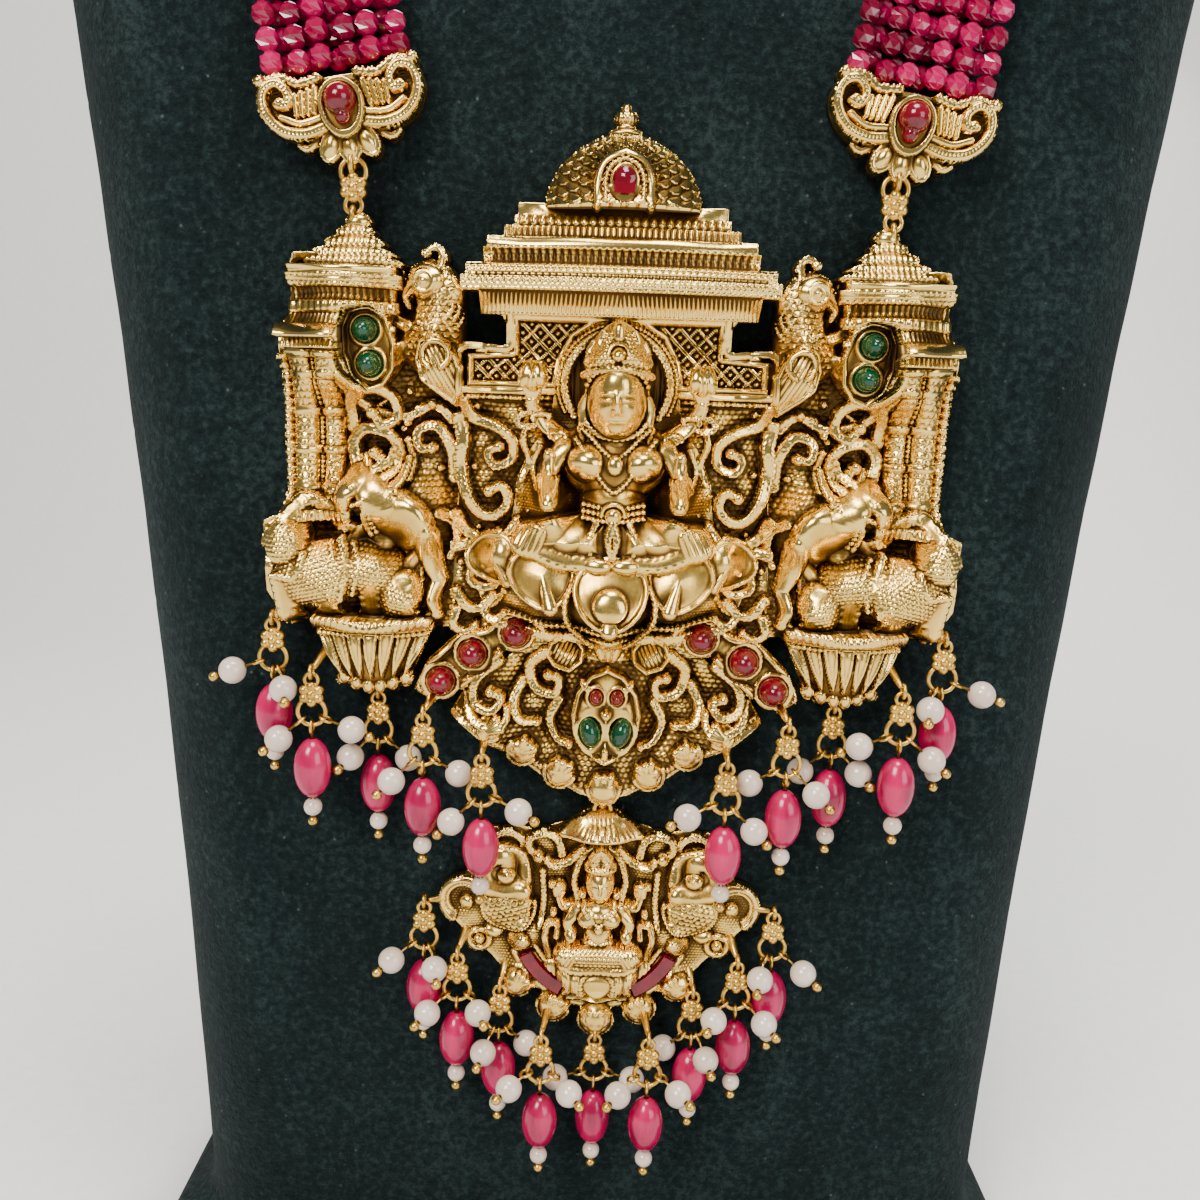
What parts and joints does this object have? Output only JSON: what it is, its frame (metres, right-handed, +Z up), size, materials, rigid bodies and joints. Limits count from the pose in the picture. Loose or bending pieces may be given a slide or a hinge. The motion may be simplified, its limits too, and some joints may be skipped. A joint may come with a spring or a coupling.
{
  "type": "temple jewellery necklace on a neck bust",
  "caption": "South Indian temple necklace in antique gold with beaded ruby strands, a shrine-shaped relief pendant and a hanging lower pendant, on a velvet bust.",
  "frame": {"origin": "middle of the bust's base, on the surface that it stands on", "axes": "+Z up, +X to the viewer's right, -Y towards the viewer of the necklace"},
  "size_m": [0.1722, 0.084, 0.306],
  "materials": {
    "velvet": "short black velvet with a dark green cast",
    "antique_gold": "matte antique gold plate, dark in the hollows",
    "ruby": "glossy red stone, closed back",
    "emerald": "glossy green stone, closed back",
    "ruby_bead": "polished ruby-red oval bead",
    "ruby_strands": "faceted ruby-red round beads",
    "pearl": "cream pearl, soft lustre"
  },
  "bodies": {
    "necklace_on_bust": {"display_bust": "velvet", "bead_strands_right": "ruby_strands", "end_bar_right": "antique_gold", "end_bar_ruby_right": "ruby", "flower_link_right": "antique_gold", "back_bar_right": "antique_gold", "bead_strands_left": "ruby_strands", "end_bar_left": "antique_gold", "end_bar_ruby_left": "ruby", "flower_link_left": "antique_gold", "back_bar_left": "antique_gold", "clasp": "antique_gold", "main_pendant": "antique_gold", "dome_ruby": "ruby", "wing_ruby_inner_right": "ruby", "wing_ruby_middle_right": "ruby", "wing_ruby_outer_right": "ruby", "peacock_emerald_upper_right": "emerald", "peacock_emerald_lower_right": "emerald", "drop_ruby_right": "ruby", "drop_emerald_right": "emerald", "wing_ruby_inner_left": "ruby", "wing_ruby_middle_left": "ruby", "wing_ruby_outer_left": "ruby", "peacock_emerald_upper_left": "emerald", "peacock_emerald_lower_left": "emerald", "drop_ruby_left": "ruby", "drop_emerald_left": "emerald", "ruby_bead_main_right_1": "ruby_bead", "ruby_bead_main_right_2": "ruby_bead", "ruby_bead_main_right_3": "ruby_bead", "ruby_bead_main_right_4": "ruby_bead", "ruby_bead_main_right_5": "ruby_bead", "ruby_bead_main_left_1": "ruby_bead", "ruby_bead_main_left_2": "ruby_bead", "ruby_bead_main_left_3": "ruby_bead", "ruby_bead_main_left_4": "ruby_bead", "ruby_bead_main_left_5": "ruby_bead", "cluster_links_main_left": "antique_gold", "bead_pins_main_left": "antique_gold", "pearls_main_left": "pearl", "cluster_links_main_right": "antique_gold", "bead_pins_main_right": "antique_gold", "pearls_main_right": "pearl"},
    "lower_pendant": {"lower_pendant": "antique_gold", "ruby_band_right": "ruby", "ruby_band_left": "ruby", "ruby_bead_lower_right_1": "ruby_bead", "ruby_bead_lower_right_2": "ruby_bead", "ruby_bead_lower_right_3": "ruby_bead", "ruby_bead_lower_right_4": "ruby_bead", "ruby_bead_lower_left_1": "ruby_bead", "ruby_bead_lower_left_2": "ruby_bead", "ruby_bead_lower_left_3": "ruby_bead", "ruby_bead_lower_left_4": "ruby_bead", "ruby_bead_lower_middle": "ruby_bead", "cluster_links_lower": "antique_gold", "bead_pins_lower": "antique_gold", "pearls_lower": "pearl"}
  },
  "joints": [
    {"name": "lower_pendant_swing", "type": "hinge", "parent": "necklace_on_bust", "child": "lower_pendant", "pos_m": [0, -0.0244, 0.089], "axis": [0, 1, 0], "range_deg": [-10, 10]}
  ]
}
